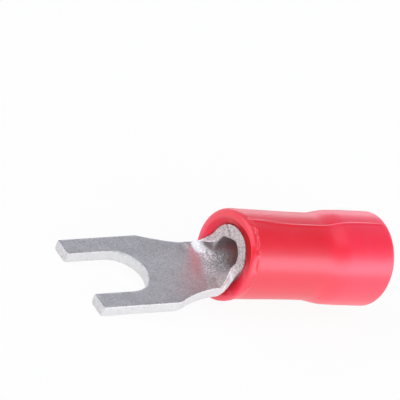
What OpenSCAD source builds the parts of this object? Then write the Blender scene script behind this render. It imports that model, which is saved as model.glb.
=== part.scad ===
// Insulated fork terminal for a small screw stud, with a belled wire entry.
// It lies as it comes to rest: on the underside of the bell and on the two tine tips.
// X runs along the barrel from the fork to the wire entry, and Z is up.

/* [Sheet] */
// Thickness of the sheet that the contact is stamped from
sheet_t = 0.65; // [0.5:0.05:0.8]

/* [Tongue] */
// Width of the fork across both tines
tongue_w = 5.5; // [4.8:0.1:6.4]
// Width of the slot between the tines
slot_w = 3.2; // [2.7:0.1:3.7]
// Distance from the tine tips to the centre of the slot's round end
stud_reach = 2.55; // [1.5:0.05:3.2]
// Distance from the tine tips to the shoulders, over which the sides are parallel
parallel_l = 5.0; // [4.2:0.1:6]
// Distance from the tine tips to the barrel's front rim, along the sheet
tongue_l = 8.95; // [8:0.05:11]
// Radius of the corners at the tine tips
tip_r = 0.16; // [0.05:0.01:0.4]

/* [Neck] */
// Width of the neck where it turns up into the barrel
neck_w = 3.65; // [2.8:0.05:4.2]
// Length of the bend from the flat tongue to the round barrel
bend_l = 1.6; // [1:0.1:2.4]
// Length before the barrel's rim over which the sheet curls up from flat to round
curl_l = 1; // [0.8:0.05:1.6]
// Radius of the fillet between the neck's edge and the barrel's rim
rim_fillet = 0.45; // [0.2:0.05:0.7]

/* [Barrel] */
// Outer diameter of the rolled barrel
barrel_od = 3.2; // [2.8:0.05:3.6]
// Length of the barrel
barrel_l = 5; // [3.5:0.1:6]
// Distance of the barrel's front rim behind the sleeve's fork-end face
rim_recess = 0.25; // [0.1:0.05:0.5]
// Width of the butt seam along the barrel
seam_w = 0.05; // [0.03:0.01:0.1]
// Slant of the butt seam from the radial direction, in degrees
seam_slant = 60; // [0:5:60]
// Place of the seam's inner edge, in degrees from the top towards +Y
seam_turn = 14; // [0:2:30]

/* [Sleeve] */
// Length of the insulating sleeve
sleeve_l = 10; // [8.5:0.1:13]
// Outer diameter over the barrel
sleeve_od = 4.8; // [4.2:0.1:5.4]
// Outer diameter of the bell at the wire entry
bell_od = 5.2; // [4.8:0.1:6]
// Inner diameter of the bell, which takes the wire's insulation
bell_id = 3.7; // [3.4:0.1:4.2]
// Length of the bell
bell_l = 2.8; // [2:0.1:4]
// Length of the step from the plain tube to the bell
step_l = 1.7; // [1:0.1:2.4]
// Radius of the rounded outer corners at both ends
corner_r = 0.28; // [0.1:0.02:0.4]
// Width of the funnel lip at the wire entry
lip_w = 0.35; // [0.1:0.05:0.4]
// Depth of the funnel lip at the wire entry
lip_depth = 0.45; // [0.2:0.05:0.8]
// Width of the funnel in the bore at the fork end
mouth_w = 0.33; // [0.1:0.01:0.4]
// Distance that this funnel reaches past the barrel's front rim
mouth_lead = 0.08; // [0.02:0.02:0.4]
// Clearance around the barrel in the sleeve's bore
barrel_gap = 0.02; // [0.01:0.01:0.1]

/* [Hidden] */
$fn = 128;

// Steps along and across the lofted neck, and along the step of the sleeve
NECK_STEPS = 12;
ACROSS_STEPS = 20;
STEP_STEPS = 10;
// How far the lofted neck runs into the tongue and the barrel, and how far its skin lies inside theirs
LAP = 0.3;
SKIN = 0.01;
// How much closer together the loft's sections stand towards the rim, where its edge turns
CROWDING = 1.5;
// How far a cut runs past the surface that it opens
CUT = 1;
// Largest share of a wall that one end rounding takes
ROUND_SHARE = 0.47;

barrel_r = barrel_od / 2;
bore_r = barrel_r - sheet_t;
mid_r = barrel_r - sheet_t / 2;
bell_r = bell_od / 2;
sleeve_r = sleeve_od / 2;
rest_r = max(bell_r, sleeve_r);

// The tongue dips so that the undersides of the tine tips come level with the underside of the bell
dip_reach = tongue_l - bend_l / 2;
dip = asin((rest_r - mid_r) / norm([dip_reach, sheet_t / 2])) - atan2(sheet_t / 2, dip_reach);
bend_r = bend_l / 2 / tan(dip / 2);
bend_x = rim_recess - bend_l / 2;
bend_start = tongue_l - bend_l;
bend_arc = bend_r * dip * PI / 180;
sheet_end = bend_start + bend_arc;

// The tongue's flanks are arcs that run from the shoulders into the neck
neck_s = sheet_end - rim_fillet;
flank_h = (tongue_w - neck_w) / 2;
flank_r = (pow(neck_s - parallel_l, 2) + pow(flank_h, 2)) / (2 * flank_h);

// The sleeve's bore and step, with the end roundings held within its walls
grip_r = barrel_r + barrel_gap;
wire_r = bell_id / 2;
bell_start = sleeve_l - bell_l;
step_start = bell_start - step_l;
fork_corner = min(corner_r, ROUND_SHARE * (sleeve_r - grip_r));
fork_funnel = min(mouth_w, ROUND_SHARE * (sleeve_r - grip_r));
wire_corner = min(corner_r, ROUND_SHARE * (bell_r - wire_r));
wire_funnel = min(lip_w, ROUND_SHARE * (bell_r - wire_r));

// The model stands on Z = 0 with the middle of its length at X = 0
tip_x = bend_x - dip_reach * cos(dip) - sheet_t / 2 * sin(dip);
middle_x = (tip_x + sleeve_l) / 2;

// Half the width of the sheet at a distance s from the tine tips
function flank(s) = neck_w / 2 + flank_r - sqrt(pow(flank_r, 2) - pow(max(neck_s - s, 0), 2));
function rim_flare(s) = rim_fillet - sqrt(max(pow(rim_fillet, 2) - pow(max(s - neck_s, 0), 2), 0));
function half_width(s) = flank(s) + rim_flare(s);

// A smooth rise from 0 to 1
function ease(u) = u * u * (3 - 2 * u);

// How far the sheet is curled at a distance s from the tips
function curl(s) = ease(max(1 - (sheet_end - s) / min(curl_l, bend_arc), 0));

// One point of the sheet's section at a distance s from the tips: v runs across it and h is its height
// above the middle of the sheet, where bent is 0 for a flat sheet and 1 for the barrel's full curve
function section_point(v, h, bent) =
    bent == 0 ? [v, h]
    : let (r = mid_r / bent, turn = v / r * 180 / PI)
      [(r - h) * sin(turn), r - (r - h) * cos(turn)];

// The outline of that section, once around
function section(width, bent) =
    let (h = sheet_t / 2 - SKIN)
    concat(
        [for (i = [0 : ACROSS_STEPS]) section_point(width * (2 * i / ACROSS_STEPS - 1), h, bent)],
        [for (i = [ACROSS_STEPS : -1 : 0]) section_point(width * (2 * i / ACROSS_STEPS - 1), -h, bent)]
    );

// The section's place on the bend's arc, where turn falls from the dip to zero at the rim
function place(p, turn, along) = [
    rim_recess - bend_r * sin(turn) + along * cos(turn) - p[1] * sin(turn),
    p[0],
    -mid_r - bend_r * (1 - cos(turn)) + along * sin(turn) + p[1] * cos(turn)
];

function neck_section(u, along) =
    let (turn = dip * (1 - u), s = bend_start + u * bend_arc)
    [for (p = section(half_width(s) - SKIN, curl(s))) place(p, turn, along)];

// A closed skin over a list of sections with the same number of points
module loft(sections) {
    size = len(sections[0]);
    last = len(sections) - 1;
    sides = [
        for (k = [0 : last - 1], i = [0 : size - 1])
            let (a = k * size + i, b = k * size + (i + 1) % size)
            each [[a, b, a + size], [b, b + size, a + size]]
    ];
    half = size / 2;
    caps = [
        for (i = [0 : half - 2])
            let (a = i, b = i + 1, c = size - 2 - i, d = size - 1 - i, e = last * size)
            each [[a, d, b], [b, d, c], [e + a, e + b, e + d], [e + b, e + c, e + d]]
    ];
    polyhedron([for (ring = sections) each ring], concat(sides, caps));
}

// The scoop that turns from the flat tongue into the floor of the barrel
module neck() {
    loft(concat(
        [neck_section(0, -LAP)],
        [for (k = [0 : NECK_STEPS]) neck_section(1 - pow(1 - k / NECK_STEPS, CROWDING), 0)],
        [neck_section(1, LAP)]
    ));
}

// The tongue's outline in the plane of the sheet, with the tine tips on the Y axis
module tongue_outline() {
    difference() {
        square_tip(bend_start, tongue_w);
        translate([-CUT, -slot_w / 2])
            square([stud_reach + CUT, slot_w]);
        translate([stud_reach, 0])
            circle(d = slot_w);
        for (side = [-1, 1]) {
            flank_cut(side);
            slot_corner(side);
        }
    }
}

// A strip with rounded outer corners at the tips
module square_tip(length, width) {
    translate([tip_r, -width / 2])
        square([length - tip_r, width]);
    translate([0, -width / 2 + tip_r])
        square([length, width - 2 * tip_r]);
    for (side = [-1, 1])
        translate([tip_r, side * (width / 2 - tip_r)])
            circle(tip_r);
}

// The round cut that narrows one flank from the shoulder to the neck
module flank_cut(side) {
    intersection() {
        translate([neck_s, side * (neck_w / 2 + flank_r)])
            circle(flank_r);
        translate([parallel_l, side > 0 ? 0 : -tongue_w])
            square([tongue_l, tongue_w]);
    }
}

// The rounded corner where one side of the slot runs out at the tips
module slot_corner(side) {
    translate([0, side * slot_w / 2])
        difference() {
            translate([-CUT, side > 0 ? -CUT : -tip_r])
                square([tip_r + CUT, tip_r + CUT]);
            translate([tip_r, side * tip_r])
                circle(tip_r);
        }
}

// The flat fork, set down at its dip
module tongue() {
    translate([bend_x, 0, -mid_r])
        rotate([0, -dip, 0])
            translate([-dip_reach, 0, -sheet_t / 2])
                linear_extrude(sheet_t)
                    tongue_outline();
}

// The rolled barrel with its butt seam
module barrel() {
    translate([rim_recess, 0, 0])
        difference() {
            rotate([0, 90, 0])
                cylinder(r = barrel_r, h = barrel_l);
            translate([-CUT, 0, 0])
                rotate([0, 90, 0])
                    cylinder(r = bore_r, h = barrel_l + 2 * CUT);
            rotate([-seam_turn, 0, 0])
                translate([-CUT, 0, bore_r])
                    rotate([-seam_slant, 0, 0])
                        translate([0, -seam_w / 2, -sheet_t / 2])
                            cube([barrel_l + 2 * CUT, seam_w, barrel_od]);
        }
}

module contact() {
    color("silver")
        at_rest() {
            tongue();
            neck();
            barrel();
        }
}

// The sleeve's section in radius and length, from the fork end to the wire entry
module sleeve_section() {
    steps = [for (k = [0 : STEP_STEPS]) k / STEP_STEPS];
    polygon(concat(
        [[grip_r + fork_funnel, 0], [sleeve_r - fork_corner, 0], [sleeve_r, fork_corner]],
        [for (u = steps) [sleeve_r + (bell_r - sleeve_r) * ease(u), step_start + u * step_l]],
        [[bell_r, sleeve_l - wire_corner], [bell_r - wire_corner, sleeve_l]],
        [[wire_r + wire_funnel, sleeve_l], [wire_r, sleeve_l - lip_depth]],
        [for (u = steps) [wire_r + (grip_r - wire_r) * ease(u), bell_start - u * step_l]],
        [[grip_r, rim_recess + mouth_lead]]
    ));
    translate([sleeve_r - fork_corner, fork_corner])
        circle(fork_corner);
    translate([bell_r - wire_corner, sleeve_l - wire_corner])
        circle(wire_corner);
}

module sleeve() {
    color("crimson")
        at_rest()
            rotate([0, 90, 0])
                rotate_extrude()
                    sleeve_section();
}

// Moves a piece from the barrel's axis and the sleeve's fork-end face to where it rests
module at_rest() {
    translate([-middle_x, 0, rest_r])
        children();
}

contact();
sleeve();
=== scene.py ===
"""Fork terminal: a tinned fork contact rolled from sheet, held in a red PVC sleeve."""
import math
from collections import namedtuple

import bmesh
import bpy
from mathutils import Matrix, Vector
from mathutils.geometry import delaunay_2d_cdt


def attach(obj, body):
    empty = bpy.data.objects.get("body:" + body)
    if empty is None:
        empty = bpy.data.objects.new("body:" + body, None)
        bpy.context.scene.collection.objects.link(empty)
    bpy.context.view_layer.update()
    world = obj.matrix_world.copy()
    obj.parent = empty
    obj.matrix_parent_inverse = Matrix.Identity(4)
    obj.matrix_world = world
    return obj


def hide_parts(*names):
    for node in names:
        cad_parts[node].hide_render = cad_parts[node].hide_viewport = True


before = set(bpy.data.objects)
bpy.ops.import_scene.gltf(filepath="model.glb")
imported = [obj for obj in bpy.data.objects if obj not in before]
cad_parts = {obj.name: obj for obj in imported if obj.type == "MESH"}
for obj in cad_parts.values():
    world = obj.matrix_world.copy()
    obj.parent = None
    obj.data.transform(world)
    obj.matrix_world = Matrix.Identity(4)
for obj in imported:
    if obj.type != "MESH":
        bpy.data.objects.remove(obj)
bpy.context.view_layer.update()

MM = 0.001

# Driving sizes in millimetres, the same as in the part's source.
SHEET_T = 0.65
TONGUE_W = 5.5
SLOT_W = 3.2
STUD_REACH = 2.55
PARALLEL_L = 5.0
TONGUE_L = 8.95
TIP_R = 0.16
NECK_W = 3.65
BEND_L = 1.6
CURL_L = 1.0
RIM_FILLET = 0.45
BARREL_OD = 3.2
BARREL_L = 5.0
RIM_RECESS = 0.25
SEAM_W = 0.05
SEAM_SLANT = math.radians(60)
SEAM_TURN = math.radians(14)
SLEEVE_L = 10.0
SLEEVE_OD = 4.8
BELL_OD = 5.2
BELL_ID = 3.7
BELL_L = 2.8
STEP_L = 1.7
CORNER_R = 0.28
LIP_W = 0.35
LIP_DEPTH = 0.45
MOUTH_W = 0.33
MOUTH_LEAD = 0.08
BARREL_GAP = 0.02

# Sizes that only the looks need, in millimetres.
EDGE_R = 0.07
TOP_DEPTH = EDGE_R * 1.01
TIP_EDGE_R = 0.155
TIP_EDGE_H = 0.3
TIP_EDGE_L = 0.3
CORNER_NIP = 0.03
SHOULDER_R = 0.12
SHOULDER_DROP = 0.02
INNER_EDGE_R = 0.06
MOUTH_EDGE_R = 0.2
SAG = 0.1
SAG_L = 7.5
BURR_H = 0.12
STEP_TAIL = 2.55
STEP_MAIN_L = STEP_L - 0.15
STEP_SLOW_START = 0.95
STEP_SLOW_SHARE = 0.14
BORE_FLAT = math.radians(154)
BORE_FLAT_HALF = math.radians(31)
BORE_FLAT_L = 2.0

# How finely the blank is divided: lengths in millimetres, and steps in each arc.
SHEET_GRAIN = 0.13
ROW_SHARE = 0.87
WALL_PITCH = 0.15
TIP_PITCH = 0.12
RIM_PITCH = 0.1
WING_PITCH = 0.2
AFTER_ARC = 0.1
SMALL_GAP = 0.05
SLOT_STEPS = 30
TIP_STEPS = 6
NIP_STEPS = 4
FLANK_STEPS = 40
FILLET_STEPS = 10
EDGE_TURNS = [math.radians(turn) for turn in (90, 60, 30, 0)]
WALL_SHARES = (0.25, 0.5, 0.75)

# The marks on the contact's mesh that its material reads.
TIN_LAYERS = ("cut", "bore", "worked", "rim", "burnished", "dulled")

# Where the blank is marked, in millimetres: along it from the barrel's rim, or across it.
BORE_DARKENS = (0.5, 1.9)
WORKED_FROM = (-1.25, -0.85)
WORKED_LEAN = 0.34
WORKED_FAR = (0.9, 1.6)
WORKED_NEAR = 2.2
WORKED_NEAR_EDGE = 1.6
WORKED_NEAR_FADE = 0.4
RIM_REACH = 0.26
# Across the trough: where painted shade darkens its near side.
TROUGH_PAINTED_SHADE = (0.3, 1.2)
BURR_RISE = (-1.9, -1.1)
BURR_EARLY_RISE = (-4.2, -2.8)
BURR_EARLY_SHARE = 0.5
BURR_END = (0.35, 0.85)
BURR_ACROSS = (1.0, 1.8)

# Marks measured from the bend's start, from the tine tips, and in the row frame, in millimetres.
BURNISHED_FROM = (-0.5, -0.1)
TIP_END = 0.14
# The box, in the row frame, where painted shade darkens the far wall of the trough.
FAR_WALL_START_X = (-1.03, -0.91)
FAR_WALL_END_X = (-0.7, -0.4)
FAR_WALL_Y = (0.55, 0.85)
FAR_WALL_Z = (1.86, 2.06)

# How strong these marks are, and the share of sheared face below which a point counts as flat.
# The first two set the strength of the painted shade on the far wall and on the tine tips.
FAR_WALL_PAINTED_SHADE = 1.25
TIP_PAINTED_SHADE = 0.25
TIP_WORKED = 0.3
FLAT_CUT = 0.1

# Where the sleeve's section has points between its corners, in millimetres from the fork end.
FLASH_STATIONS = [0.3 + 0.03 * i for i in range(1, 15)]
TUBE_STATIONS = (0.8, 1.0, 1.3, 1.9, 2.7, 3.5, 4.3, 4.9)
BELL_STATIONS = (8.3, 8.6, 9.0, 9.3)
BORE_STATIONS = (4.4, 3.4, 2.4, 1.4, 0.7)

# Where the sleeve's marks lie around its axis, in degrees: they start, are full, fade and are gone.
FLASH_SECTOR = (88, 100, 178, 205)
FLARE_SECTOR = (150, 205, 255, 300)
TRIM_SECTOR = (84, 116, 172, 208)
PULL_SECTOR = (212, 240, 268, 305)
OPEN_SECTOR = (80, 135, 195, 245)
# SHADE_SECTOR: where painted shade darkens the inner lip.
SHADE_SECTOR = (55, 105, 140, 182)

# Where they lie along the sleeve, in millimetres from the fork end.
PARTING_RUN = (0.2, 0.5, 9.3, 9.8)
PARTING_MOUTH = (0.9, 2.8)
PARTING_BELL = (4.8, 8.0)
FLASH_X = 0.46
FLASH_WAVER = 0.8
FLASH_HALF_W = 0.11
FLARE_L = 0.8
TRIM_FADE = (0.1, 1.0)
TAPER_TUBE = (0.5, 5.0)
TAPER_STEP = (5.3, 7.0)
# SHADE_FADE: where the inner lip's painted shade fades out along the funnel.
SHADE_FADE = (0.33, 0.6)

# Where painted glow brightens its red, standing in for light through the wall: along it where no barrel
# stands behind, and at the fork-end lip, by height above the floor.
HOLLOW_X = (RIM_RECESS + BARREL_L - 0.6, RIM_RECESS + BARREL_L + 2.2)
GLOW_LIP_X = (0.05, 0.4)
GLOW_LIP_Z = (2.2, 4.4)

# How far the parting line lies off the top, how much less at the mouth and the bell, and what else the
# marks need.
PARTING_TURN = math.radians(7)
PARTING_MOUTH_TURN = math.radians(5)
PARTING_BELL_TURN = math.radians(3)
UPPER_HALF = (-0.5, 0.5)
FLASH_RING = 3.2
FLASH_TEARS = (0.38, 0.6)
FLASH_LEAST = 0.25
CROWDING = 0.42

# What follows from the driving sizes.
BARREL_R = BARREL_OD / 2
MID_R = BARREL_R - SHEET_T / 2
BORE_R = BARREL_R - SHEET_T
SLEEVE_R = SLEEVE_OD / 2
BELL_R = BELL_OD / 2
REST_R = max(BELL_R, SLEEVE_R)
GRIP_R = BARREL_R + BARREL_GAP
MOUTH_R = GRIP_R + MOUTH_W
FUNNEL_L = RIM_RECESS + MOUTH_LEAD
STEP_X = SLEEVE_L - BELL_L - STEP_L
SLOT_R = SLOT_W / 2
DIP_REACH = TONGUE_L - BEND_L / 2
DIP = math.asin((REST_R - MID_R) / math.hypot(DIP_REACH, SHEET_T / 2)) - math.atan2(SHEET_T / 2, DIP_REACH)
BEND_R = BEND_L / 2 / math.tan(DIP / 2)
BEND_X = RIM_RECESS - BEND_L / 2
BEND_START = TONGUE_L - BEND_L
BEND_ARC = BEND_R * DIP
SHEET_END = BEND_START + BEND_ARC
BLANK_L = SHEET_END + BARREL_L
NECK_S = SHEET_END - RIM_FILLET
FLANK_H = (TONGUE_W - NECK_W) / 2
FLANK_R = ((NECK_S - PARALLEL_L) ** 2 + FLANK_H ** 2) / (2 * FLANK_H)
FAR_WING = MID_R * (math.pi - SEAM_TURN) - SEAM_W / 2
NEAR_WING = MID_R * (math.pi + SEAM_TURN) - SEAM_W / 2
TIP_X = BEND_X - DIP_REACH * math.cos(DIP) - SHEET_T / 2 * math.sin(DIP)
MIDDLE_X = (TIP_X + SLEEVE_L) / 2

# What the sleeve's node tree is given by name, in metres.
SLEEVE_INPUTS = {
    "Steps Around": 240,
    "Axis Height": REST_R * MM,
    "Ridge Height": 0.04 * MM,
    "Ridge Width": 0.26 * MM,
    "Flash Height": 0.065 * MM,
    "Flash Seed": 3.0,
    "Lip Flare": 0.16 * MM,
    "Lip Trim": 0.1 * MM,
    "Lip Pull": 0.18 * MM,
    "Mouth Shift": 0.3 * MM,
    "Taper": 0.03 * MM,
    "Sag": SAG * MM,
}

# What a point of the sleeve knows: metres along and out from the axis, its turn in radians and in degrees
# about the axis, and whether it lies on the outside.
Spot = namedtuple("Spot", "along radius around turned outside")


class Field:
    """A socket of a node tree that takes part in Python expressions."""

    def __init__(self, tree, socket):
        self.tree = tree
        self.socket = socket

    def maths(self, operation, first, second=None):
        node = self.tree.nodes.new("ShaderNodeMath")
        node.operation = operation
        for place, value in enumerate((first, second)):
            if isinstance(value, Field):
                self.tree.links.new(value.socket, node.inputs[place])
            elif value is not None:
                node.inputs[place].default_value = value
        return Field(self.tree, node.outputs[0])

    def __add__(self, other):
        return self.maths("ADD", self, other)

    def __radd__(self, other):
        return self.maths("ADD", other, self)

    def __sub__(self, other):
        return self.maths("SUBTRACT", self, other)

    def __rsub__(self, other):
        return self.maths("SUBTRACT", other, self)

    def __mul__(self, other):
        return self.maths("MULTIPLY", self, other)

    def __rmul__(self, other):
        return self.maths("MULTIPLY", other, self)

    def __truediv__(self, other):
        return self.maths("DIVIDE", self, other)

    def least(self, other):
        return self.maths("MINIMUM", self, other)

    def most(self, other):
        return self.maths("MAXIMUM", self, other)

    def cosine(self):
        return self.maths("COSINE", self)

    def sine(self):
        return self.maths("SINE", self)


class Bench:
    """A node tree, with one way to add any node to it."""

    def __init__(self, tree):
        self.tree = tree

    def node(self, kind, settings=None, sockets=None):
        node = self.tree.nodes.new(kind)
        for name, value in (settings or {}).items():
            if name == "stops":
                self.set_stops(node.color_ramp, value)
            else:
                setattr(node, name, value)
        for key, value in (sockets or {}).items():
            if isinstance(value, Field):
                self.tree.links.new(value.socket, node.inputs[key])
            else:
                node.inputs[key].default_value = value
        return node

    def set_stops(self, scale, stops):
        while len(scale.elements) < len(stops):
            scale.elements.new(1.0)
        for element, (place, tone) in zip(scale.elements, stops):
            element.position = place
            element.color = (*tone, 1.0)

    def field(self, kind, output=0, settings=None, sockets=None):
        return Field(self.tree, self.node(kind, settings, sockets).outputs[output])

    def attribute(self, name):
        return self.field("ShaderNodeAttribute", "Fac", {"attribute_name": name})

    def step(self, value, low, high):
        """Goes smoothly from 0 to 1 as the value goes from low to high."""
        return self.field("ShaderNodeMapRange", settings={"interpolation_type": "SMOOTHSTEP"},
                          sockets={"Value": value, "From Min": low, "From Max": high})

    def between(self, value, start, full, fading, gone):
        """Goes smoothly from 0 to 1 and back to 0 as the value passes the four places."""
        return self.step(value, start, full) * (1 - self.step(value, fading, gone))

    def mix(self, factor, first, second):
        """A colour between two colours."""
        node = self.node("ShaderNodeMix", {"data_type": "RGBA"}, {0: factor, 6: first, 7: second})
        return Field(self.tree, node.outputs[2])

    def noise(self, where, size_mm, detail, roughness):
        """Noise whose features are about the given size."""
        return self.field("ShaderNodeTexNoise", sockets={
            "Vector": where, "Scale": 1 / (size_mm * MM), "Detail": detail, "Roughness": roughness})

    def axes(self, vector):
        node = self.node("ShaderNodeSeparateXYZ", sockets={0: vector})
        return [Field(self.tree, output) for output in node.outputs]


def colour(red, green, blue):
    return (red, green, blue, 1.0)


def metres(lengths):
    return [length * MM for length in lengths]


def new_material(name):
    material = bpy.data.materials.new(name)
    material.use_nodes = True
    material.node_tree.nodes.clear()
    return material, Bench(material.node_tree)


def blended(bench, share, first, second):
    """A shader between two shaders."""
    blend = bench.node("ShaderNodeMixShader", sockets={0: share})
    bench.tree.links.new(first.outputs[0], blend.inputs[1])
    bench.tree.links.new(second.outputs[0], blend.inputs[2])
    return blend


def close_material(bench, shader):
    output = bench.node("ShaderNodeOutputMaterial")
    bench.tree.links.new(shader.outputs[0], output.inputs["Surface"])


def object_place(bench):
    return bench.field("ShaderNodeTexCoord", "Object")


def tinned_sheet():
    """Satin tin plate: fine grain and faint rolling streaks, with paler sheared edges and a speckled rim,
    whose pink tint is a painted reflection of the red sleeve.

    The neck is rougher; painted shade, a dull brown, darkens the near side of its worked trough, its far
    wall and the tine tips; and the bore is darker.
    """
    material, bench = new_material("tin_plate")
    place = object_place(bench)
    cut, inside, worked, rim, burnished, dulled = (bench.attribute(name) for name in TIN_LAYERS)
    grain = bench.noise(place, size_mm=0.10, detail=2.0, roughness=0.6)
    cloud = bench.noise(place, size_mm=0.55, detail=4.0, roughness=0.6)
    specks = bench.step(bench.noise(place, size_mm=0.13, detail=2.0, roughness=0.7), 0.53, 0.66)
    drawn = bench.field("ShaderNodeMapping", sockets={0: place, "Scale": (0.12, 1.0, 1.0)})
    streak = bench.noise(drawn, size_mm=0.16, detail=3.0, roughness=0.6)

    contrast = 1.5 + worked * 3.4 - cut * 0.6 + rim * 2.4
    tone = 0.5 + (grain - 0.5) * contrast + (cloud - 0.5) * 0.5 + (streak - 0.5) * 0.3
    rolled = bench.mix(tone, colour(0.51, 0.51, 0.53), colour(0.92, 0.92, 0.93))
    stretched = bench.mix(tone, colour(0.46, 0.45, 0.46), colour(0.98, 0.96, 0.97))
    formed = bench.mix(worked, rolled, stretched)
    shorn = bench.mix(tone, colour(0.62, 0.62, 0.61), colour(0.86, 0.86, 0.85))
    # The torn rim: real dark specks and grain, with a pink tint that is a painted reflection of the red
    # sleeve.
    torn = bench.mix(tone, colour(0.43, 0.36, 0.355), colour(0.80, 0.70, 0.69))
    sheared = bench.mix(cut, formed, bench.mix(rim, shorn, torn))
    edge = cut * (1 - cut) * 2.4
    speck_share = specks * (0.14 + worked * 0.55 + rim * 0.75 + edge)
    speckled = bench.mix(speck_share, sheared, colour(0.30, 0.28, 0.28))
    # Painted shade: a dull brown standing in for dark reflections on the trough's near side and far wall,
    # and for shade on the tine tips.
    tin_with_painted_shade = bench.mix(dulled * 0.7, speckled, colour(0.38, 0.30, 0.29))
    bored = bench.mix(inside * 0.8, tin_with_painted_shade, colour(0.66, 0.42, 0.38))

    height = grain * (0.5 + worked * 0.4) + streak * 0.2 + cloud * (0.4 + worked * 0.3)
    bump = bench.field("ShaderNodeBump", sockets={"Strength": 0.55, "Distance": 0.03 * MM, "Height": height})
    uneven = (cloud - 0.5) * 0.16 + (grain - 0.5) * 0.16
    rough = 0.38 + worked * 0.2 - burnished * 0.05 + uneven * (1 - burnished * 0.85)
    metal = 0.88 - worked * 0.45 - cut * cut * cut * 0.45
    shader = bench.node("ShaderNodeBsdfPrincipled", sockets={
        "Base Color": bored, "Metallic": metal, "Roughness": rough, "Normal": bump})
    close_material(bench, shader)
    return material


def soft_red_pvc():
    """Satin red PVC, with painted glow (a brighter red) where no barrel stands behind it and low on the
    fork-end lip, and painted shade on part of the inner lip.
    """
    material, bench = new_material("red_pvc")
    place = object_place(bench)
    x, _, z = bench.axes(place)
    along = x / MM + MIDDLE_X
    hollow_glow = bench.step(along, *HOLLOW_X)
    lip_floor_glow = (1 - bench.step(along, *GLOW_LIP_X)) * (1 - bench.step(z / MM, *GLOW_LIP_Z))
    cloud = bench.noise(place, size_mm=1.1, detail=3.0, roughness=0.5)
    grain = bench.noise(place, size_mm=0.14, detail=2.0, roughness=0.6)
    # Painted glow: the clear red is a lit copy of the backed red, standing in for light through the wall
    # where no barrel is behind and low on the lip.
    backed = bench.mix(cloud, colour(0.79, 0.011, 0.027), colour(0.85, 0.016, 0.036))
    clear = bench.mix(cloud, colour(0.95, 0.027, 0.070), colour(0.99, 0.035, 0.086))
    body = bench.mix(hollow_glow.most(lip_floor_glow), backed, clear)
    height = cloud + grain * 0.04
    bump = bench.field("ShaderNodeBump", sockets={"Strength": 0.25, "Distance": 0.03 * MM, "Height": height})
    rough = 0.33 + (cloud - 0.5) * 0.1 + (grain - 0.5) * 0.03
    satin = bench.node("ShaderNodeBsdfPrincipled", sockets={
        "Base Color": body, "Roughness": rough, "Normal": bump, "IOR": 1.6,
        "Specular IOR Level": 1.0, "Specular Tint": colour(0.88, 0.86, 1.0),
        "Subsurface Weight": 1.0, "Subsurface Radius": (1.0, 0.18, 0.15), "Subsurface Scale": 0.6 * MM})
    # Painted shade: a darker matt red blended over part of the funnel by the inner lip's mask.
    shade = bench.mix(cloud, colour(0.50, 0.010, 0.014), colour(0.58, 0.014, 0.018))
    matt = bench.node("ShaderNodeBsdfDiffuse", sockets={"Color": shade, "Normal": bump})
    close_material(bench, blended(bench, bench.attribute("inner_lip") * 0.9, satin, matt))
    return material


def studio_floor_white():
    """White to the camera and in reflections, with a share of real shade so that the shadow stays."""
    material, bench = new_material("floor_white")
    path = bench.node("ShaderNodeLightPath")
    rays = [Field(bench.tree, path.outputs[name])
            for name in ("Is Camera Ray", "Is Glossy Ray", "Is Transmission Ray")]
    shown = (rays[0] + rays[1] + rays[2]).least(1.0)
    tone = bench.noise(object_place(bench), size_mm=6.0, detail=2.0, roughness=0.5)
    paper = bench.mix(tone, colour(0.90, 0.90, 0.90), colour(0.94, 0.94, 0.94))
    matt = bench.node("ShaderNodeBsdfDiffuse", sockets={"Color": paper})
    white = bench.node("ShaderNodeEmission", sockets={"Color": colour(1, 1, 1), "Strength": 1.0})
    close_material(bench, blended(bench, shown * 0.93, matt, white))
    return material


def ease(share):
    return share * share * (3 - 2 * share)


def part(value, low, high):
    """Goes evenly from 0 to 1 as the value goes from low to high."""
    return max(0.0, min(1.0, (value - low) / (high - low)))


def ramp(value, low, high):
    """Goes smoothly from 0 to 1 as the value goes from low to high."""
    return ease(part(value, low, high))


def half_width(s):
    """Half the width of the tongue and neck, at a distance from the tine tips."""
    flank = FLANK_R - math.sqrt(FLANK_R ** 2 - max(NECK_S - s, 0) ** 2)
    fillet = RIM_FILLET - math.sqrt(max(RIM_FILLET ** 2 - max(s - NECK_S, 0) ** 2, 0))
    return NECK_W / 2 + flank + fillet


def arc(centre, radius, first, last, steps):
    """Points (s, v) on an arc, by angle in degrees from the s direction."""
    points = []
    for i in range(steps + 1):
        turn = math.radians(first + (last - first) * i / steps)
        points.append((centre[0] + radius * math.cos(turn), centre[1] + radius * math.sin(turn)))
    return points


def run(start, end, pitch):
    """Evenly spaced points from start up to, but not including, the end."""
    steps = max(1, round(math.dist(start, end) / pitch))
    return [(start[0] + (end[0] - start[0]) * i / steps, start[1] + (end[1] - start[1]) * i / steps)
            for i in range(steps)]


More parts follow.
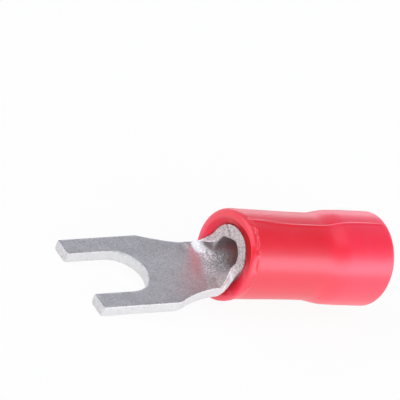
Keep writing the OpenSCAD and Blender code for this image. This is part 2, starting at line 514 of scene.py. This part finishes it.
def half_outline(wing):
    """One side of the flat blank, from the bottom of the slot round to the middle of the back edge."""
    half_w = TONGUE_W / 2
    rim_v = NECK_W / 2 + RIM_FILLET
    nip = CORNER_NIP
    points = arc((STUD_REACH, 0), SLOT_R, 0, 90, SLOT_STEPS)
    points += run((STUD_REACH - AFTER_ARC, SLOT_R), (TIP_R, SLOT_R), WALL_PITCH)
    points += arc((TIP_R, SLOT_R + TIP_R), TIP_R, 270, 180, TIP_STEPS)
    points += run((0, SLOT_R + TIP_R + AFTER_ARC), (0, half_w - TIP_R - SMALL_GAP), TIP_PITCH)
    points += arc((TIP_R, half_w - TIP_R), TIP_R, 180, 90, TIP_STEPS)
    points += run((TIP_R + TIP_PITCH, half_w), (PARALLEL_L - SHOULDER_R, half_w), WALL_PITCH)
    points += flank_points()
    points += run((SHEET_END, rim_v + SMALL_GAP), (SHEET_END, wing - nip), RIM_PITCH)
    points += arc((SHEET_END + nip, wing - nip), nip, 180, 90, NIP_STEPS)
    points += run((SHEET_END + nip + AFTER_ARC, wing), (BLANK_L - nip, wing), WING_PITCH)
    points += arc((BLANK_L - nip, wing - nip), nip, 90, 0, NIP_STEPS)
    points += run((BLANK_L, wing - nip - AFTER_ARC), (BLANK_L, 0), WALL_PITCH)
    points.append((BLANK_L, 0))
    return points


def flank_points():
    """The shoulder, the curved flank of the neck and the fillet up to the barrel rim."""
    points = []
    for i in range(FLANK_STEPS + 1):
        s = PARALLEL_L - SHOULDER_R + (NECK_S - PARALLEL_L + SHOULDER_R) * i / FLANK_STEPS
        soft = max(0.0, 1 - abs(s - PARALLEL_L) / SHOULDER_R)
        points.append((s, min(half_width(s), TONGUE_W / 2) - SHOULDER_DROP * soft * soft))
    for i in range(1, FILLET_STEPS + 1):
        turn = math.radians(90 * i / FILLET_STEPS)
        points.append((NECK_S + RIM_FILLET * math.sin(turn), NECK_W / 2 + RIM_FILLET * (1 - math.cos(turn))))
    return points


def blank_outline():
    """The whole outline of the flat blank, once round."""
    far = half_outline(FAR_WING)
    near = half_outline(NEAR_WING)
    return far + [(s, -v) for s, v in reversed(near[1:-1])]


def inward(points):
    """The direction into the sheet at each point of the outline.

    At a corner it is stretched, up to twice its length, so that a shift keeps its depth.
    """
    count = len(points)
    area = sum(points[i - 1][0] * points[i][1] - points[i][0] * points[i - 1][1] for i in range(count))
    side = 1 if area > 0 else -1
    directions = []
    for i in range(count):
        before = Vector(points[i]) - Vector(points[i - 1])
        after = Vector(points[(i + 1) % count]) - Vector(points[i])
        normals = [Vector((-leg.y, leg.x)).normalized() * side for leg in (before, after)]
        middle = (normals[0] + normals[1]).normalized()
        directions.append(middle / max(0.5, middle.dot(normals[0])))
    return directions


def sheet_filling(margin):
    """Points spread over the inside of the blank, so that its faces bend smoothly."""
    points = []
    rows = int(BLANK_L / (SHEET_GRAIN * ROW_SHARE))
    clear_r = SLOT_R + margin
    for row in range(rows + 1):
        s = BLANK_L * row / rows
        if s < TIP_EDGE_R + SMALL_GAP or s > BLANK_L - margin:
            continue
        narrow = half_width(s) if s > PARALLEL_L else TONGUE_W / 2
        far, near = (FAR_WING, NEAR_WING) if s > SHEET_END + margin else (narrow, narrow)
        shift = 0.5 * (row % 2)
        for column in range(-int(near / SHEET_GRAIN) - 1, int(far / SHEET_GRAIN) + 2):
            v = (column + shift) * SHEET_GRAIN
            in_slot = s < STUD_REACH and abs(v) < clear_r
            near_stud = math.hypot(s - STUD_REACH, v) <= clear_r
            if margin - near < v < far - margin and not in_slot and not near_stud:
                points.append((s, v))
    return points


def rolled_place(s, v, h):
    """Where a point of the flat blank ends up once the barrel is rolled and the tongue is bent down."""
    turn = DIP * part(SHEET_END - s, 0.0, BEND_ARC)
    along = min(s - BEND_START, 0.0) + max(s - SHEET_END, 0.0)
    bent = ramp(1 - (SHEET_END - s) / CURL_L, 0.0, 1.0)
    across = v
    rise = h
    if bent > 1e-6:
        radius = MID_R / bent
        around = (v + seam_lean(v, h)) / radius
        reach = radius - h - bore_flat(around, h, along) * bent
        across = reach * math.sin(around)
        rise = radius - reach * math.cos(around)
    x = RIM_RECESS - BEND_R * math.sin(turn) + along * math.cos(turn) - rise * math.sin(turn)
    z = -MID_R - BEND_R * (1 - math.cos(turn)) + along * math.sin(turn) + rise * math.cos(turn)
    z -= SAG * bent * (1 - x / SAG_L)
    z += burr_lift(s, v)
    return Vector(((x - MIDDLE_X) * MM, across * MM, (z + REST_R) * MM))


def burr_lift(s, v):
    """How far the far edge of the neck is raised by the cut just before the curl starts."""
    past_rim = s - SHEET_END
    main = ramp(past_rim, *BURR_RISE)
    early = BURR_EARLY_SHARE * ramp(past_rim, *BURR_EARLY_RISE)
    return BURR_H * max(early, main) * ramp(-past_rim, *BURR_END) * ramp(v, *BURR_ACROSS)


def seam_lean(v, h):
    """How far the slanted seam carries a point near a wing's edge round, by its height in the sheet."""
    share = ease(max(0.0, v / FAR_WING - 0.5, -v / NEAR_WING - 0.5) * 2)
    slant = SEAM_SLANT - math.asin(min(1.0, BORE_R * math.sin(SEAM_SLANT) / (MID_R - h)))
    return -MID_R * slant * share


def bore_flat(around, h, along):
    """How far the bore's wall stands in where the wings' edges stay flat instead of round."""
    off = abs((around - BORE_FLAT + math.pi) % (2 * math.pi) - math.pi)
    if off > BORE_FLAT_HALF:
        return 0.0
    depth = BORE_R * (1 - math.cos(BORE_FLAT_HALF) / math.cos(off))
    return depth * (0.5 + h / SHEET_T) * max(0.0, 1 - along / BORE_FLAT_L)


def edge_rings(s):
    """Depth into the sheet, height above its middle and share of sheared face, from top to bottom.

    The lower edge is rounded more at the tips of the tines.
    """
    at_tip = 1 - ramp(s, 0.0, TIP_EDGE_L)
    under_r = EDGE_R + (TIP_EDGE_R - EDGE_R) * at_tip
    under_h = EDGE_R + (TIP_EDGE_H - EDGE_R) * at_tip
    high = SHEET_T / 2 - EDGE_R
    low = under_h - SHEET_T / 2
    top = [(EDGE_R * (1 - math.cos(turn)), high + EDGE_R * math.sin(turn), math.cos(turn))
           for turn in EDGE_TURNS]
    wall = [(0.0, high + (low - high) * share, 1.0) for share in WALL_SHARES]
    under = [(under_r * (1 - math.cos(turn)), low - under_h * math.sin(turn), math.cos(turn))
             for turn in reversed(EDGE_TURNS)]
    return top + wall + under


def tin_marks(s, v, h, cut, place):
    """How the tin looks at a point of the blank, by layer, from where it lies there and in the row frame."""
    past_rim = s - SHEET_END
    flat = cut < FLAT_CUT
    at_tip = s < TIP_END
    deep = part(past_rim, *BORE_DARKENS)
    on_top = h > SHEET_T / 2 - TOP_DEPTH
    near_end = -(WORKED_NEAR if flat else WORKED_NEAR_EDGE)
    middle = min(1 - ramp(v, *WORKED_FAR), ramp(v, near_end, near_end + WORKED_NEAR_FADE))
    worked = ramp(past_rim - WORKED_LEAN * v, *WORKED_FROM) * middle * (1 - deep)
    # Painted shade: on the far wall, in a box of the row frame; on the worked trough's near side; and on the
    # tine tips.
    x, y, z = place
    far_wall = ramp(x, *FAR_WALL_START_X) * (1 - ramp(x, *FAR_WALL_END_X))
    far_wall *= ramp(y, *FAR_WALL_Y) * ramp(z, *FAR_WALL_Z)
    dulled = max(worked * ramp(-v, *TROUGH_PAINTED_SHADE), far_wall * FAR_WALL_PAINTED_SHADE) if flat else 0.0
    at_rim = abs(v) > NECK_W / 2 and abs(past_rim) < RIM_REACH
    return {
        "cut": cut,
        "bore": deep if on_top else 0.0,
        "worked": TIP_WORKED * cut if at_tip else worked,
        "rim": cut if at_rim else 0.0,
        "burnished": ramp(s - BEND_START, *BURNISHED_FROM) * (1 - worked) * (1 - deep),
        "dulled": TIP_PAINTED_SHADE * cut if at_tip else dulled,
    }


def fork_contact(material):
    """The contact: a flat blank with rounded edges, filled, given its thickness and rolled to shape."""
    outline = blank_outline()
    directions = inward(outline)
    mesh = bmesh.new()
    layers = {name: mesh.verts.layers.float.new(name) for name in TIN_LAYERS}

    def add_point(s, v, h, cut):
        place = rolled_place(s, v, h)
        vert = mesh.verts.new(place)
        for name, value in tin_marks(s, v, h, cut, place / MM).items():
            vert[layers[name]] = value
        return vert

    loops = [[] for _ in edge_rings(0.0)]
    for (s, v), inside in zip(outline, directions):
        for ring, (depth, height, cut) in zip(loops, edge_rings(s)):
            ring.append(add_point(s + inside.x * depth, v + inside.y * depth, height, cut))
    count = len(outline)
    for upper, lower in zip(loops, loops[1:]):
        for i in range(count):
            j = (i + 1) % count
            mesh.faces.new((upper[i], upper[j], lower[j], lower[i]))

    rim = [Vector((s, v)) + inside * EDGE_R for (s, v), inside in zip(outline, directions)]
    flat = [Vector(point) for point in rim + sheet_filling(EDGE_R + SMALL_GAP)]
    ring_edges = [(i, (i + 1) % count) for i in range(count)]
    inside_only = 1
    places, _, faces, origins, _, _ = delaunay_2d_cdt(flat, ring_edges, [], inside_only, 1e-6)
    for ring, height, turned in ((loops[0], SHEET_T / 2, False), (loops[-1], -SHEET_T / 2, True)):
        verts = []
        for place, origin in zip(places, origins):
            known = [i for i in origin if i < count]
            verts.append(ring[known[0]] if known else add_point(place.x, place.y, height, 0.0))
        for face in faces:
            mesh.faces.new([verts[i] for i in (reversed(face) if turned else face)])
    bmesh.ops.remove_doubles(mesh, verts=mesh.verts, dist=1e-9)
    bmesh.ops.recalc_face_normals(mesh, faces=mesh.faces)
    return finished_piece("fork_contact", mesh, material)


def new_object(name, data):
    """An object with this data, linked to the scene."""
    made = bpy.data.objects.new(name, data)
    bpy.context.scene.collection.objects.link(made)
    return made


def finished_piece(name, mesh, material):
    """Turns a bmesh into a smooth shaded object at the origin."""
    for face in mesh.faces:
        face.smooth = True
    data = bpy.data.meshes.new(name)
    mesh.to_mesh(data)
    mesh.free()
    data.materials.append(material)
    return new_object(name, data)


def soft_corner(before, corner, after, radius, steps=4):
    """A corner of the sleeve section rounded to a radius, as points (x, r)."""
    first = (Vector(before) - Vector(corner)).normalized()
    second = (Vector(after) - Vector(corner)).normalized()
    half = first.angle(second) / 2
    reach = radius / math.tan(half)
    centre = Vector(corner) + (first + second).normalized() * (radius / math.sin(half))
    start = Vector(corner) + first * reach - centre
    swing = start.angle_signed(Vector(corner) + second * reach - centre)
    points = []
    for i in range(steps + 1):
        turn = -swing * i / steps
        x = start.x * math.cos(turn) - start.y * math.sin(turn)
        r = start.x * math.sin(turn) + start.y * math.cos(turn)
        points.append((centre.x + x, centre.y + r))
    return points


def step_curve(start_r, end_r, steps=24):
    """The smooth step from the tube to the bell, with a slow end."""
    points = []
    for i in range(steps + 1):
        along = STEP_TAIL * i / steps
        main = ramp(along, 0.0, STEP_MAIN_L)
        slow = ramp(along, STEP_SLOW_START, STEP_TAIL)
        risen = (1 - STEP_SLOW_SHARE) * main + STEP_SLOW_SHARE * slow
        points.append((STEP_X + along, start_r + (end_r - start_r) * risen))
    return points


def sleeve_section():
    """The sleeve's section, once round from the fork end along the outside and back through the bore.

    Each point is (x, r, outside).
    """
    bell_bore = BELL_ID / 2
    lip_r = bell_bore + LIP_W
    face_mid = (0, (MOUTH_R + SLEEVE_R - CORNER_R) / 2)
    end_mid = (SLEEVE_L, (lip_r + BELL_R - CORNER_R) / 2)
    funnel_mid = (FUNNEL_L / 2, (MOUTH_R + GRIP_R) / 2)
    lip_mid = (SLEEVE_L - LIP_DEPTH / 2, (lip_r + bell_bore) / 2)
    outer = [face_mid]
    outer += soft_corner(face_mid, (0, SLEEVE_R), (STEP_X, SLEEVE_R), CORNER_R, steps=8)
    outer += [(x, SLEEVE_R) for x in (*FLASH_STATIONS, *TUBE_STATIONS)]
    outer += step_curve(SLEEVE_R, BELL_R)
    outer += [(x, BELL_R) for x in BELL_STATIONS]
    outer += soft_corner((STEP_X, BELL_R), (SLEEVE_L, BELL_R), end_mid, CORNER_R, steps=8)
    outer += [end_mid]
    inner = soft_corner(end_mid, (SLEEVE_L, lip_r), lip_mid, INNER_EDGE_R)
    inner += soft_corner(lip_mid, (SLEEVE_L - LIP_DEPTH, bell_bore), (STEP_X, bell_bore), INNER_EDGE_R)
    inner += [(x, bell_bore) for x in reversed(BELL_STATIONS[:-1])]
    inner += reversed(step_curve(GRIP_R, bell_bore))
    inner += [(x, GRIP_R) for x in BORE_STATIONS]
    inner += soft_corner((STEP_X, GRIP_R), (FUNNEL_L, GRIP_R), funnel_mid, INNER_EDGE_R)
    inner += soft_corner(funnel_mid, (0, MOUTH_R), face_mid, MOUTH_EDGE_R, steps=6)
    return [(x, r, 1.0) for x, r in outer] + [(x, r, 0.0) for x, r in inner] + [(*face_mid, 1.0)]


def section_object():
    """The sleeve section as a chain of points, in metres, with x along the axis and z outwards."""
    section = sleeve_section()
    data = bpy.data.meshes.new("sleeve_section")
    verts = [(x * MM, 0, r * MM) for x, r, _ in section]
    data.from_pydata(verts, [(i, i + 1) for i in range(len(verts) - 1)], [])
    outside = data.attributes.new("outside", "FLOAT", "POINT")
    for i, (_, _, share) in enumerate(section):
        outside.data[i].value = share
    return new_object("pvc_sleeve", data)


def turned_grid(bench, given):
    """A grid with a column for each point of the section, and what each grid point knows of the sleeve."""
    section = given["Geometry"]
    count = bench.field("GeometryNodeAttributeDomainSize", "Point Count",
                        {"component": "MESH"}, {"Geometry": section})
    grid = bench.field("GeometryNodeMeshGrid", "Mesh", sockets={
        "Size X": 1.0, "Size Y": 1.0, "Vertices X": count, "Vertices Y": given["Steps Around"] + 1})
    grid_x, grid_y, _ = bench.axes(bench.field("GeometryNodeInputPosition"))
    index = (grid_x + 0.5) * (count - 1)
    even = (grid_y + 0.5) * (2 * math.pi)
    around = even + (even * 2).sine() * CROWDING

    def sampled(kind, value):
        return bench.field("GeometryNodeSampleIndex", settings={"data_type": kind, "domain": "POINT"},
                           sockets={"Geometry": section, "Value": value, "Index": index + 0.01})

    along, _, radius = bench.axes(sampled("FLOAT_VECTOR", bench.field("GeometryNodeInputPosition")))
    named = bench.field("GeometryNodeInputNamedAttribute", settings={"data_type": "FLOAT"},
                        sockets={"Name": "outside"})
    return grid, Spot(along, radius, around, around * (180 / math.pi), sampled("FLOAT", named))


def parting_ridge(bench, given, spot):
    """How far the mould's parting line stands out; it wanders along the top of the sleeve."""
    at_mouth = 1 - bench.step(spot.along, *metres(PARTING_MOUTH))
    at_bell = bench.step(spot.along, *metres(PARTING_BELL))
    parting = PARTING_TURN - at_mouth * PARTING_MOUTH_TURN - at_bell * PARTING_BELL_TURN
    away = ((spot.around - parting).cosine() * spot.radius) / (given["Ridge Width"] / 2)
    crest = (1 - away * away).most(0.0)
    above = bench.step(spot.around.sine(), *UPPER_HALF)
    shown = bench.between(spot.along, *metres(PARTING_RUN))
    return crest * crest * given["Ridge Height"] * spot.outside * above * shown


def flash_line(bench, given, spot):
    """How far the ragged flash stands out that the mould left behind the fork-end lip."""
    ring_place = bench.field("ShaderNodeCombineXYZ", sockets={
        "X": spot.around.cosine() * FLASH_RING, "Y": spot.around.sine() * FLASH_RING,
        "Z": given["Flash Seed"]})
    waver = bench.field("ShaderNodeTexNoise", sockets={
        "Vector": ring_place, "Scale": 3.6, "Detail": 4.0, "Roughness": 0.75})
    torn = bench.field("ShaderNodeTexNoise", sockets={
        "Vector": ring_place, "Scale": 4.6, "Detail": 3.0, "Roughness": 0.65})
    line = (FLASH_X + (waver - 0.5) * FLASH_WAVER) * MM
    beside = (spot.along - line) / (FLASH_HALF_W * MM)
    crest = (1 - beside * beside).most(0.0)
    strength = FLASH_LEAST + bench.between(spot.turned, *FLASH_SECTOR) * bench.step(torn, *FLASH_TEARS)
    return crest * strength * spot.outside * given["Flash Height"]


def lip_shape(bench, given, spot):
    """How far the fork-end lip is flared outwards, moved along the axis, and opened at its mouth."""
    to_bore = (1 - spot.along / (FUNNEL_L * MM)).most(0.0)
    loose = spot.outside.most(to_bore)
    flared = bench.between(spot.turned, *FLARE_SECTOR)
    flare = given["Lip Flare"] * flared * loose * (1 - bench.step(spot.along, 0.0, FLARE_L * MM))
    trimmed = bench.between(spot.turned, *TRIM_SECTOR)
    pulled = bench.between(spot.turned, *PULL_SECTOR)
    at_end = (given["Lip Trim"] * trimmed - given["Lip Pull"] * pulled) * loose
    moved = at_end * (1 - bench.step(spot.along, *metres(TRIM_FADE)))
    to_mouth = ((SLEEVE_R * MM - spot.radius) / ((SLEEVE_R - MOUTH_R) * MM)).least(1.0).most(0.0)
    opened = given["Mouth Shift"] * bench.between(spot.turned, *OPEN_SECTOR) * to_bore * to_mouth
    return flare, moved, opened


def tube_taper(bench, given, spot):
    """How far the outside widens towards the fork end and narrows before the step."""
    narrowed = 2 * bench.step(spot.along, *metres(TAPER_TUBE))
    widened = 0.4 * bench.step(spot.along, *metres(TAPER_STEP))
    return given["Taper"] * (1 - narrowed + widened) * spot.outside


def turned_sleeve_tree(material):
    """Geometry Nodes tree that turns a section about the sleeve's axis and raises its mould marks."""
    tree = bpy.data.node_groups.new("turned_sleeve", "GeometryNodeTree")
    face = tree.interface
    face.new_socket("Geometry", in_out="INPUT", socket_type="NodeSocketGeometry")
    face.new_socket("Geometry", in_out="OUTPUT", socket_type="NodeSocketGeometry")
    for name, value in SLEEVE_INPUTS.items():
        kind = "NodeSocketInt" if isinstance(value, int) else "NodeSocketFloat"
        face.new_socket(name, in_out="INPUT", socket_type=kind).default_value = value
    bench = Bench(tree)
    group = bench.node("NodeGroupInput")
    given = {output.name: Field(tree, output) for output in group.outputs if output.name}

    grid, spot = turned_grid(bench, given)
    ridge = parting_ridge(bench, given, spot)
    flash = flash_line(bench, given, spot)
    flare, moved, opened = lip_shape(bench, given, spot)
    taper = tube_taper(bench, given, spot)
    sag = given["Sag"] * (1 - spot.along / (SAG_L * MM))
    reach = spot.radius + ridge + flash + flare + opened + taper
    height = spot.around.sine() * reach + given["Axis Height"] - sag
    place = bench.field("ShaderNodeCombineXYZ", sockets={
        "X": spot.along + moved - MIDDLE_X * MM, "Y": spot.around.cosine() * reach, "Z": height.most(0.0)})

    # The mask of the painted shade on the inner lip, for the material.
    shaded = bench.between(spot.turned, *SHADE_SECTOR) * (1 - bench.step(spot.along, *metres(SHADE_FADE)))
    marked = bench.field(
        "GeometryNodeStoreNamedAttribute", settings={"data_type": "FLOAT", "domain": "POINT"},
        sockets={"Geometry": grid, "Name": "inner_lip", "Value": (1 - spot.outside) * shaded})
    shaped = bench.field("GeometryNodeSetPosition", sockets={"Geometry": marked, "Position": place})
    merged = bench.field("GeometryNodeMergeByDistance", sockets={"Geometry": shaped, "Distance": 1e-7})
    smooth = bench.field("GeometryNodeSetShadeSmooth", sockets={"Geometry": merged})
    real = bench.field("GeometryNodeRealizeInstances", sockets={"Geometry": smooth})
    finish = bench.node("GeometryNodeSetMaterial", sockets={"Geometry": real, "Material": material})
    output = bench.node("NodeGroupOutput")
    tree.links.new(finish.outputs[0], output.inputs[0])
    return tree


def pvc_sleeve(material):
    """The sleeve, turned from its section by the tree and then made a plain mesh."""
    piece = section_object()
    modifier = piece.modifiers.new("turned", "NODES")
    modifier.node_group = turned_sleeve_tree(material)
    sockets = {item.name: item.identifier for item in modifier.node_group.interface.items_tree
               if item.in_out == "INPUT"}
    for name, value in SLEEVE_INPUTS.items():
        modifier[sockets[name]] = value
    bpy.context.view_layer.update()
    turned = bpy.data.meshes.new_from_object(piece.evaluated_get(bpy.context.evaluated_depsgraph_get()))
    piece.modifiers.remove(modifier)
    piece.data = turned
    mesh = bmesh.new()
    mesh.from_mesh(turned)
    bmesh.ops.recalc_face_normals(mesh, faces=mesh.faces)
    mesh.to_mesh(turned)
    mesh.free()
    turned.name = "pvc_sleeve"
    return piece


def studio_floor():
    """A large plain sheet under the part."""
    mesh = bmesh.new()
    bmesh.ops.create_grid(mesh, x_segments=8, y_segments=8, size=1.5)
    floor = finished_piece("studio_floor", mesh, studio_floor_white())


def studio_world():
    """A pale surround, brightest near the horizon, and dark higher up and on the viewer's side."""
    world = bpy.data.worlds.new("studio")
    bpy.context.scene.world = world
    world.use_nodes = True
    world.node_tree.nodes.clear()
    bench = Bench(world.node_tree)
    direction = bench.field("ShaderNodeTexCoord", "Generated")
    _, _, up = bench.axes(direction)
    to_viewer = bench.field("ShaderNodeVectorMath", "Value", {"operation": "DOT_PRODUCT"},
                            {0: direction, 1: (-0.77, -0.62, 0.15)})
    pale = bench.field("ShaderNodeValToRGB", settings={"stops": (
        (0.0, (1.0, 0.99, 1.0)), (0.15, (0.93, 0.92, 1.0)), (0.38, (0.56, 0.55, 0.62)),
        (0.5, (0.56, 0.56, 0.62)), (0.62, (0.39, 0.39, 0.42)), (0.72, (0.08, 0.08, 0.09)),
        (0.8, (0.05, 0.05, 0.055)), (1.0, (0.05, 0.05, 0.055)))}, sockets={0: up})
    shade = bench.mix(bench.step(to_viewer, 0.45, 0.85) * 0.85, pale, colour(0.08, 0.08, 0.085))
    sky = bench.node("ShaderNodeBackground", sockets={"Color": shade, "Strength": 1.05})
    output = bench.node("ShaderNodeOutputWorld")
    bench.tree.links.new(sky.outputs[0], output.inputs["Surface"])


def soft_light(name, direction, distance, size, glow, mirrored=True):
    """A soft box that faces the part, with its brightness given as seen from the part."""
    lamp = bpy.data.lights.new(name, "AREA")
    lamp.shape = "RECTANGLE"
    lamp.size, lamp.size_y = size
    lamp.energy = glow * math.pi * size[0] * size[1]
    lamp.color = (0.94, 0.94, 1.0)
    holder = new_object(name, lamp)
    holder.visible_glossy = mirrored
    away = Vector(direction).normalized()
    holder.location = away * distance
    holder.rotation_euler = away.to_track_quat("Z", "Y").to_euler()


def studio_lights():
    soft_light("top_box", (-0.33, 0.06, 0.95), distance=0.5, size=(0.60, 0.78), glow=1.38)
    soft_light("low_side_box", (0.52, -0.81, 0.25), distance=0.5, size=(0.66, 0.24), glow=1.6)
    soft_light("front_fill", (-0.62, -0.76, 0.18), distance=0.6, size=(0.6, 0.5), glow=2.9, mirrored=False)
    soft_light("back_panel", (0.60, 0.78, 0.06), distance=0.5, size=(0.5, 0.14), glow=1.2)
    soft_light("far_panel", (-0.30, 0.64, 0.71), distance=0.5, size=(0.16, 0.16), glow=2.0)
    soft_light("end_panel", (0.95, 0.28, 0.06), distance=0.5, size=(0.3, 0.2), glow=1.4)


def studio_camera():
    """The photograph's view: a long lens, turned about its own axis."""
    azimuth, elevation, roll = (math.radians(turn) for turn in (313.834, 28.859, 29.910))
    aim = Vector((-1.4266, 2.6744, 3.9220)) * MM
    distance = 0.365
    back = Vector((math.sin(azimuth) * math.cos(elevation), -math.cos(azimuth) * math.cos(elevation),
                   math.sin(elevation)))
    level = Vector((math.cos(azimuth), math.sin(azimuth), 0))
    rise = back.cross(level)
    right = level * math.cos(roll) + rise * math.sin(roll)
    above = rise * math.cos(roll) - level * math.sin(roll)
    lens = bpy.data.cameras.new("camera")
    lens.sensor_width = 36
    lens.lens = 613.33
    camera = new_object("camera", lens)
    turn = Matrix((right, above, back)).transposed().to_4x4()
    camera.matrix_world = Matrix.Translation(aim + back * distance) @ turn
    bpy.context.scene.camera = camera


def put_together():
    contact = fork_contact(tinned_sheet())
    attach(contact, "root")
    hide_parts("contact")
    sleeve = pvc_sleeve(soft_red_pvc())
    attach(sleeve, "root")
    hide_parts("sleeve")


put_together()
studio_floor()
studio_world()
studio_lights()
studio_camera()
bpy.context.scene.view_settings.view_transform = "Standard"
